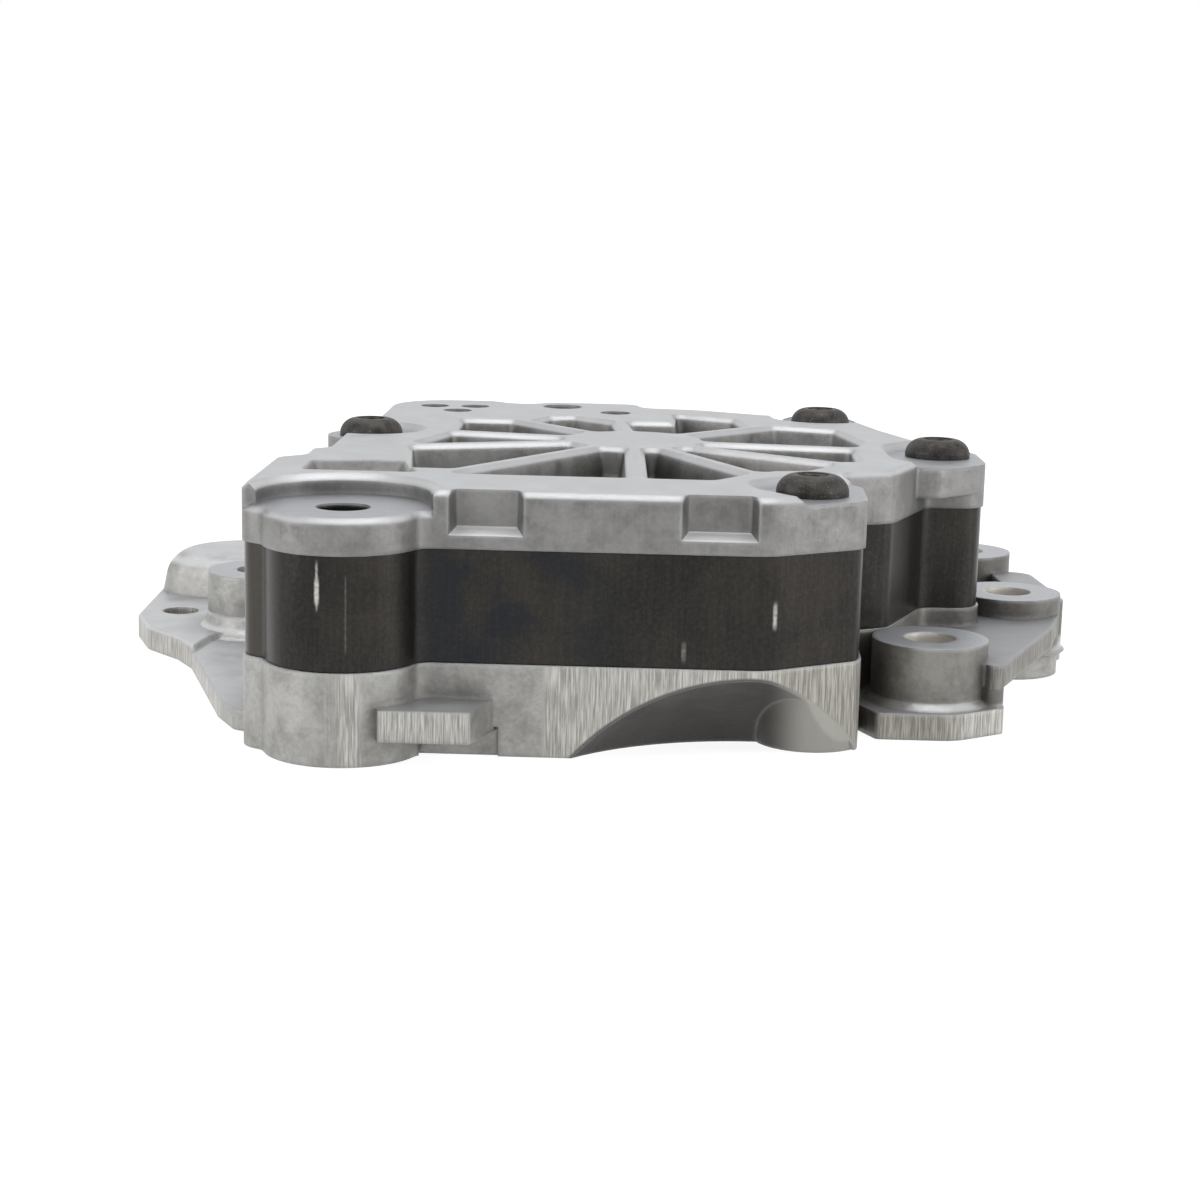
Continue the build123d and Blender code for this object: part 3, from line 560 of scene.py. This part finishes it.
def ground_steel(name, dark, light, along, pitch, rough):
    """Ground or turned metal, whose fine lines go round the piece and change only along one axis.
    A real lay is 0.1 mm apart at most. The pitch given here is coarser, so that it shows."""
    made, tree, place = begin(name)
    squeeze = tuple(1.0 if axis == along else lay_squeeze for axis in "XYZ")
    laid = add(tree, "ShaderNodeMapping", None, Vector=place, Scale=squeeze)
    lines = add(tree, "ShaderNodeTexNoise", None, Vector=laid.outputs[0], Scale=1 / pitch,
                Detail=3.0, Roughness=0.65)
    cloud = add(tree, "ShaderNodeTexNoise", None, Vector=place, Scale=1 / sheen_size, Detail=3.0)
    tone = add(tree, "ShaderNodeMapRange", None, Value=lines.outputs["Fac"], From_Min=0.35,
               From_Max=0.65, To_Min=0.0, To_Max=1.0)
    worn = add(tree, "ShaderNodeMapRange", None, Value=cloud.outputs["Fac"], From_Min=0.3,
               From_Max=0.7, To_Min=rough - 0.04, To_Max=rough + 0.06)
    rounded = add(tree, "ShaderNodeBevel", {"samples": 4}, Radius=ground_edge * millimetre)
    metal(tree, tinted(tree, linear(dark), [(tone.outputs[0], light)]), worn.outputs[0],
          metallic=0.95, height=lines.outputs["Fac"], depth=0.02, normal=rounded.outputs[0])
    return made


# Centreless-ground bearing steel: bright, with a close round lay.
wear("housing_dowels", ground_steel("ground_bearing_steel", "#8C8D90", "#B4B5B8", along="Z",
                                    pitch=0.4, rough=0.24))

# --- Ring ---------------------------------------------------------------------------------------
# Sintered iron, pressed upright and steam treated to a blue-brown oxide, then ground on its two
# joint faces. Handling has left a few pale scratches down the front.

fine_line_pitch = 0.5
broad_line_pitch = 9.0
oxide_cloud_size = 1 / 0.055
grit_size = 1 / 1.4
tear_size = 0.625
ring_edge = 0.35
blued_middle = {"X": (-34.0, -4.0, 7.0), "Y": (-90.0, -60.0, 1.0)}
left_lobe_painted_sheen = {"X": (-80.0, -57.0, 4.0), "Y": (-90.0, -55.0, 4.0)}
blue_strength = 0.55
lobe_strength = 0.30
thin_oxide = (0.0, 0.50, 0.06)
ring_front = (-90.0, -60.0, 0.1)
scratch_side_fade = 0.2
scratch_end_fade = 0.9
scratches = [((-49.3, -49.0), (26.0, 33.2), 0.8),
             ((-49.5, -48.8), (27.0, 30.6), 1.0),
             ((-44.6, -44.45), (19.0, 31.0), 0.22),
             ((24.0, 24.6), (22.6, 26.4), 0.75),
             ((9.2, 9.9), (17.0, 19.6), 0.25)]

# Steam-treated iron: nearly black with brown clouds, a bluish cast in the middle of the front, and
# upright lines that the press tool has drawn.
steamed_iron, tree, place = begin("steam_treated_sintered_iron")
at = add(tree, "ShaderNodeSeparateXYZ", None, i0=place).outputs
fine = upright_lines(tree, place, fine_line_pitch)
broad = upright_lines(tree, place, broad_line_pitch)
oxide = add(tree, "ShaderNodeTexNoise", None, Vector=place, Scale=1 / oxide_cloud_size,
            Detail=6.0, Roughness=0.62).outputs["Fac"]
grit = add(tree, "ShaderNodeTexNoise", None, Vector=place, Scale=1 / grit_size, Detail=4.0,
           Roughness=0.7).outputs["Fac"]
colour = linear("#232221")
for pattern, faint, full, strength, tint in [(oxide, 0.42, 0.60, 0.9, "#312E2B"),
                                             (broad, 0.40, 0.66, 0.20, "#3F3C37"),
                                             (fine, 0.42, 0.66, 0.08, "#57534D"),
                                             (grit, 0.45, 0.70, 0.16, "#5C5750")]:
    layer = add(tree, "ShaderNodeMapRange", None, Value=pattern, From_Min=faint, From_Max=full,
                To_Min=0.0, To_Max=strength)
    colour = tinted(tree, colour, [(layer.outputs[0], tint)])
# A paler painted sheen on the left lobe stands for light it catches from the left.
colour = tinted(tree, colour, [
    (overlap(tree, inside(tree, at, blued_middle), between(tree, oxide, *thin_oxide),
             blue_strength), "#20252D"),
    (overlap(tree, inside(tree, at, left_lobe_painted_sheen), lobe_strength), "#56524D")])

torn = add(tree, "ShaderNodeTexNoise", None, Vector=place, Scale=1 / tear_size, Detail=3.0)
broken = add(tree, "ShaderNodeMapRange", None, Value=torn.outputs["Fac"], From_Min=0.40,
             From_Max=0.55, To_Min=0.6, To_Max=1.0)
for across, upwards, strength in scratches:
    marked = {"X": (*across, scratch_side_fade), "Y": ring_front,
              "Z": (*upwards, scratch_end_fade)}
    scratch = overlap(tree, inside(tree, at, marked), broken.outputs[0], strength)
    colour = tinted(tree, colour, [(scratch, "#C9C6C0")])
rough = add(tree, "ShaderNodeMapRange", None, Value=broad, From_Min=0.3, From_Max=0.7,
            To_Min=0.26, To_Max=0.38)
rounded = add(tree, "ShaderNodeBevel", {"samples": 6}, Radius=ring_edge * millimetre)
metal(tree, colour, rough.outputs[0], metallic=0.8, height=fine, depth=0.03,
      normal=rounded.outputs[0])
wear("rotor_housing", steamed_iron)

# --- Shaft, drive pin and snap ring -------------------------------------------------------------
# The shaft is hardened, ground steel with a hexagon broached in its lower end. A hardened pin
# through it drives the inner rotor, and a blued snap ring sits in its groove.

# Induction-hardened steel, ground: bright grey with a close round lay.
wear("drive_shaft", ground_steel("ground_hardened_steel", "#7F8184", "#A9ABAE", along="Z",
                                 pitch=0.45, rough=0.26))
# Through-hardened roller steel: the same lay, round the pin.
wear("drive_pin", ground_steel("hardened_pin_steel", "#85868A", "#ADAEB2", along="X", pitch=0.4,
                               rough=0.22))
# Spring steel, blued and oiled: blue black with a dull shine.
wear("retaining_ring", ground_steel("blued_spring_steel", "#20232A", "#363A42", along="Z",
                                    pitch=0.3, rough=0.36))

# --- Rotors -------------------------------------------------------------------------------------
# Pressed and sintered steel: flanks as pressed, with the die's upright lines, and both faces
# surface ground in straight passes.

pass_squeeze = 0.02
pass_pitch = 1 / 2.2        # grinding passes and pores, like the lay, are drawn coarser to show
die_line_pitch = 0.8
rotor_pore_size = 0.4
rotor_edge = 0.2


def pressed_steel(name, dark, light):
    """Sintered steel: straight grinding passes on the level faces, upright lines on the rest."""
    made, tree, place = begin(name)
    facing = add(tree, "ShaderNodeSeparateXYZ", None,
                 i0=add(tree, "ShaderNodeTexCoord").outputs["Normal"])
    level = add(tree, "ShaderNodeMath", {"operation": "ABSOLUTE"}, i0=facing.outputs["Z"])
    flat = add(tree, "ShaderNodeMapRange", None, Value=level.outputs[0], From_Min=0.6, From_Max=0.9,
               To_Min=0.0, To_Max=1.0)
    passes = add(tree, "ShaderNodeMapping", None, Vector=place, Scale=(pass_squeeze, 1, 1))
    ground = add(tree, "ShaderNodeTexNoise", None, Vector=passes.outputs[0],
                 Scale=1 / pass_pitch, Detail=3.0)
    height = add(tree, "ShaderNodeMix", {"data_type": "FLOAT"}, i0=flat.outputs[0],
                 i2=upright_lines(tree, place, die_line_pitch), i3=ground.outputs["Fac"])
    tone = add(tree, "ShaderNodeMapRange", None, Value=height.outputs[0], From_Min=0.35,
               From_Max=0.65, To_Min=0.0, To_Max=1.0)
    pores = add(tree, "ShaderNodeTexNoise", None, Vector=place, Scale=1 / rotor_pore_size,
                Detail=2.0)
    pit = add(tree, "ShaderNodeMapRange", None, Value=pores.outputs["Fac"], From_Min=0.30,
              From_Max=0.40, To_Min=0.55, To_Max=0.0)
    rounded = add(tree, "ShaderNodeBevel", {"samples": 4}, Radius=rotor_edge * millimetre)
    metal(tree, tinted(tree, linear(dark), [(tone.outputs[0], light), (pit.outputs[0], "#3C3C3D")]),
          rough=0.34, metallic=0.9, height=height.outputs[0], depth=0.02,
          normal=rounded.outputs[0])
    return made


# Sintered steel of the outer rotor, slightly darker than the inner one's denser mix.
wear("outer_rotor", pressed_steel("sintered_steel_outer", "#6C6D6F", "#949597"))
wear("inner_rotor", pressed_steel("sintered_steel_inner", "#7A7B7E", "#A2A3A6"))

# --- Relief valve -------------------------------------------------------------------------------
# Seat, piston, spring, spring seat, copper washer and plug go into the ring's bore in that order.
# The piston is hardened and ground, the spring wound of oiled wire, and the plug plated with
# zinc-nickel.

valve_axis = (52.0, 25.0)   # Y and Z of the bore

# Turned free-cutting steel: mid grey, with the tool's rings.
wear("valve_seat", ground_steel("turned_seat_steel", "#808184", "#A3A4A7", along="X", pitch=0.5,
                                rough=0.32))
# Case-hardened steel, ground: the brightest face in the valve.
wear("relief_piston", ground_steel("case_hardened_steel", "#8E9093", "#BDBFC2", along="X",
                                   pitch=0.35, rough=0.2))
# Oil-tempered wire: grey brown, drawn smooth.
oiled_wire = ground_steel("oil_tempered_wire", "#4B4845", "#77736E", along="X", pitch=0.6,
                          rough=0.34)
wear("relief_spring", oiled_wire)
# Pressed steel, zinc plated: pale and slightly blue.
wear("spring_seat", ground_steel("zinc_plated_steel", "#8D9196", "#AFB3B7", along="X", pitch=0.6,
                                 rough=0.36))
# Annealed copper: salmon red, softly tarnished.
wear("plug_washer", ground_steel("annealed_copper", "#8A5138", "#BC7C5C", along="X", pitch=1.4,
                                 rough=0.34))
# Zinc-nickel plate: warm grey and even.
plug_plate = ground_steel("zinc_nickel_plate", "#8A8985", "#ACAAA5", along="X", pitch=0.5,
                          rough=0.38)
wear("relief_plug", plug_plate)

# The plug is driven by a hexagon socket, forged into the round recess of its head.
plug_end_x = -57.7
plug_recess_radius = 3.96
plug_recess_depth = 3.9
plug_across_flats = 6.0
plug_set_back = 0.5
socket_lip = 0.35
socket_floor = 0.15
socket_segments = 72


def socket_insert(name, turn, centre, outer, wall_at, set_back, depth):
    """A round slug with a driver's socket in it: a flared lip, a straight wall and a flat floor."""
    shape = bmesh.new()
    angles = [2 * math.pi * step / socket_segments for step in range(socket_segments)]
    outside = [outer] * socket_segments
    wall = [wall_at(angle) for angle in angles]
    floor_level = socket_floor - depth
    rows = [[shape.verts.new((radius * math.cos(angle), radius * math.sin(angle), level))
             for radius, angle in zip(radii, angles)]
            for radii, level in [(outside, -depth), (outside, -set_back),
                                 (wall, -set_back - socket_lip), (wall, floor_level)]]
    bridge(shape, rows, smooth=False)
    middle = shape.verts.new((0, 0, floor_level))
    under = shape.verts.new((0, 0, -depth))
    for step in range(socket_segments):
        after = (step + 1) % socket_segments
        shape.faces.new((rows[-1][step], rows[-1][after], middle))
        shape.faces.new((rows[0][after], rows[0][step], under))
    bmesh.ops.transform(shape, verts=shape.verts,
                        matrix=Matrix.Translation(Vector(centre) * millimetre) @ turn
                        @ Matrix.Scale(millimetre, 4))
    return finished_object(name, shape)


def hexagon(angle):
    """Distance from the middle of a hexagon socket to its wall."""
    sector = math.pi / 3
    return 0.5 * plug_across_flats / math.cos((angle % sector) - 0.5 * sector)


plug_socket = socket_insert("plug_hexagon_socket", Matrix.Rotation(-math.pi / 2, 4, "Y"),
                            (plug_end_x, *valve_axis), plug_recess_radius, hexagon, plug_set_back,
                            plug_recess_depth)
show(plug_socket, plug_plate)
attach(plug_socket, "housing")

# The spring is wound once more, in finer steps and as a piece of its own with its own mesh. The
# real spring shortens between piston and spring seat as the valve opens.
wire_radius = 0.79
coil_radius = 3.6
coil_turns = 6
coil_steps = 240
wire_sides = 12
coil_left, coil_right = (corner[0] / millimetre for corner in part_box("relief_spring"))
coil_run = coil_right - coil_left - 2 * wire_radius

hoops = []
for step in range(coil_steps + 1):
    along = step / coil_steps
    wound = 2 * math.pi * coil_turns * along
    outward = Vector((0, math.cos(wound), math.sin(wound)))
    centre = Vector((coil_left + wire_radius + coil_run * along, *valve_axis))
    centre += coil_radius * outward
    hoops.append([])
    for side in range(wire_sides):
        round_wire = 2 * math.pi * side / wire_sides
        spoke = math.cos(round_wire) * outward + math.sin(round_wire) * Vector((1, 0, 0))
        hoops[-1].append(centre + wire_radius * spoke)
wound_spring = lofted("wound_relief_spring", hoops, joined=False)
show(wound_spring, oiled_wire)
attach(wound_spring, "housing")
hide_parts("relief_spring")
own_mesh(wound_spring)

# --- Cover --------------------------------------------------------------------------------------
# Die-cast like the base. Its pockets and flanks keep the die's mottled skin, and tumbling has
# rubbed every top edge round. Level faces, the rib tops most, are painted paler, as lit from above.
# The bolt seat and spot faces are faced.

screw_places = [(30.7, -58.4), (58.3, -3.3), (39.3, 46.6), (-52.1, 9.0)]
bolt_seat_place = (-46.6, -72.1)
bolt_seat_level = 40.5
bolt_radius = 4.5
spot_face_level = 42.5
cover_top = 44.0
facing_limit = 17.5         # past this, no screw or bolt seat has been faced
hole_places = [(-43.6, 51.7), (-34.9, 52.3), (-38.0, 43.6), (-16.1, 55.7), (-4.4, 45.9)]
drawn_line_pitch = 0.45
rib_tops = {"Z": (cover_top - 0.3, cover_top + 1.0, 0.2)}
pocket_floors = {"Z": (30.0, 39.5, 0.3)}
faced_levels = {"Z": (bolt_seat_level - 0.2, spot_face_level + 0.2, 0.1)}
down_the_holes = {"Z": (30.0, bolt_seat_level - 0.35, 0.1)}
seat_sill = {"Y": (-75.2, -72.0, 0.1), "Z": (36.5, 38.4, 0.15)}
sloping_up = (0.80, 0.97, 0.02)
seat_ring_contrast = 0.15

# Die-cast aluminium, tumbled: cloudy grey flanks, rubbed rims, and painted light on level faces.
tumbled_casting, tree, place = begin("die_cast_aluminium_tumbled")
skin = cast_surface(tree, place)
at = add(tree, "ShaderNodeSeparateXYZ", None, i0=place).outputs
drawn = add(tree, "ShaderNodeMapRange", None, Value=upright_lines(tree, place, drawn_line_pitch),
            From_Min=0.45, From_Max=0.70, To_Min=0.0, To_Max=0.07)
from_seat = nearest_of(tree, place, screw_places + [bolt_seat_place])
faced = overlap(tree, skin["level"], within(tree, from_seat, facing_limit, soft=0.2),
                inside(tree, at, faced_levels))
seat_rings = cutter_rings(tree, from_seat, seat_ring_contrast)
# Painted shade: the walls down the holes are near black, where little light reaches.
from_hole = nearest_of(tree, place, [bolt_seat_place] + hole_places)
painted_hole_shade = overlap(tree, within(tree, from_hole, bolt_radius + 0.02, soft=0.02),
                  inside(tree, at, down_the_holes))
# Painted light: the sloping sill at the front, below the bolt seat, is painted near white as a lit
# face.
painted_sill_light = overlap(tree, between(tree, skin["upward"], *sloping_up),
                  inside(tree, at, seat_sill))
# Painted light and shade: level pocket floors and, paler still, rib tops are lighter, as lit from
# above. Hollows and the holes get painted shade, slopes a painted highlight, the sill painted
# light.
colour = tinted(tree, linear("#71706E"), [
    (skin["mottle"], "#939291"), (skin["fleck"], "#989796"), (drawn.outputs[0], "#B9B8B6"),
    (overlap(tree, skin["level"], inside(tree, at, pocket_floors)), "#9E9E9E"),
    (overlap(tree, skin["level"], inside(tree, at, rib_tops)),
     tinted(tree, linear("#A9AAAD"), [(skin["mottle"], "#B7B8BA")])),
    (faced, tinted(tree, linear("#9C9DA2"), [(seat_rings, "#BCBEC2")])),
    (skin["hollow"], "#5E5D5B"), (painted_hole_shade, "#1E1D1C"), (skin["rubbed_slope_highlight"], "#C4C5C7"),
    (skin["edge"], "#C4C5C6"), (painted_sill_light, "#E2E2E2")])
metal(tree, colour, polished(tree, skin, dull=0.44, smooth=0.33), metallic=0.65,
      height=skin["grain"], depth=0.10, normal=skin["normal"])
wear("cover", tumbled_casting)

# --- Screws -------------------------------------------------------------------------------------
# Four M6 pan-head screws of phosphated steel, driven into the base through cover and ring. Each
# head has a six-lobe socket, cold forged into it.

head_top = 45.9
head_recess_radius = 2.66
head_recess_depth = 2.15
head_set_back = 0.12
head_edge = 0.3
lobe_mean = 2.12
lobe_swing = 0.30
turn_seed = 7
crystal_size = 0.3125       # real crystals are some 0.02 mm across, drawn coarser to show
phosphate_cloud_size = 2.0

# Manganese-phosphated steel: dry brown black, speckled with paler crystals.
phosphated_steel, tree, place = begin("phosphated_steel")
crystal = add(tree, "ShaderNodeTexNoise", None, Vector=place, Scale=1 / crystal_size, Detail=3.0,
              Roughness=0.7)
cloud = add(tree, "ShaderNodeTexNoise", None, Vector=place, Scale=1 / phosphate_cloud_size,
            Detail=4.0)
rubbed = add(tree, "ShaderNodeMapRange", None, Value=crystal.outputs["Fac"], From_Min=0.60,
             From_Max=0.72, To_Min=0.0, To_Max=0.8)
tone = add(tree, "ShaderNodeMapRange", None, Value=cloud.outputs["Fac"], From_Min=0.35,
           From_Max=0.65, To_Min=0.0, To_Max=1.0)
rounded = add(tree, "ShaderNodeBevel", {"samples": 4}, Radius=head_edge * millimetre)
metal(tree, tinted(tree, linear("#2E2C2A"), [(tone.outputs[0], "#474441"),
                                             (rubbed.outputs[0], "#857F77")]),
      rough=0.55, metallic=0.7, height=crystal.outputs["Fac"], depth=0.05,
      normal=rounded.outputs[0])
wear("cover_screws", phosphated_steel)


def six_lobes(angle):
    """Distance from the middle of a six-lobe socket to its wall."""
    return lobe_mean + lobe_swing * math.cos(6 * angle)


one_socket = socket_insert("one_socket", Matrix.Identity(4), (0, 0, 0), head_recess_radius,
                           six_lobes, head_set_back, head_recess_depth)
heads = bpy.data.meshes.new("screw_heads")
heads.from_pydata([(x * millimetre, y * millimetre, head_top * millimetre)
                   for x, y in screw_places], [], [])
screw_sockets = bpy.data.objects.new("screw_six_lobe_sockets", heads)
bpy.context.scene.collection.objects.link(screw_sockets)

# One socket stands on each head, turned by chance as its screw came tight.
array = bpy.data.node_groups.new("sockets_on_screw_heads", "GeometryNodeTree")
for label, kind in [("Heads", "NodeSocketGeometry"), ("Socket", "NodeSocketObject"),
                    ("Socket Size", "NodeSocketFloat"), ("Turn Seed", "NodeSocketInt"),
                    ("Finish", "NodeSocketMaterial")]:
    array.interface.new_socket(label, in_out="INPUT", socket_type=kind)
array.interface.new_socket("Sockets", in_out="OUTPUT", socket_type="NodeSocketGeometry")
given = add(array, "NodeGroupInput").outputs
piece = add(array, "GeometryNodeObjectInfo", None, Object=given["Socket"])
turn = add(array, "FunctionNodeRandomValue", {"data_type": "FLOAT_VECTOR"},
           Seed=given["Turn Seed"], i0=(0, 0, 0), i1=(0, 0, 2 * math.pi))
placed = add(array, "GeometryNodeInstanceOnPoints", None, Points=given["Heads"],
             Instance=piece.outputs["Geometry"], Rotation=turn.outputs[0],
             Scale=given["Socket Size"])
real = add(array, "GeometryNodeRealizeInstances", None, Geometry=placed.outputs[0])
dressed = add(array, "GeometryNodeSetMaterial", None, Geometry=real.outputs[0],
              Material=given["Finish"])
add(array, "NodeGroupOutput", None, Sockets=dressed.outputs[0])

maker = screw_sockets.modifiers.new("sockets", "NODES")
maker.node_group = array
identifiers = {item.name: item.identifier for item in array.interface.items_tree
               if item.in_out == "INPUT"}
for label, value in [("Socket", one_socket), ("Socket Size", 1.0), ("Turn Seed", turn_seed),
                     ("Finish", phosphated_steel)]:
    maker[identifiers[label]] = value
evaluated = screw_sockets.evaluated_get(bpy.context.evaluated_depsgraph_get())
finished = bpy.data.meshes.new_from_object(evaluated)
screw_sockets.modifiers.remove(maker)
screw_sockets.data = finished
bpy.data.objects.remove(one_socket)
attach(screw_sockets, "housing")
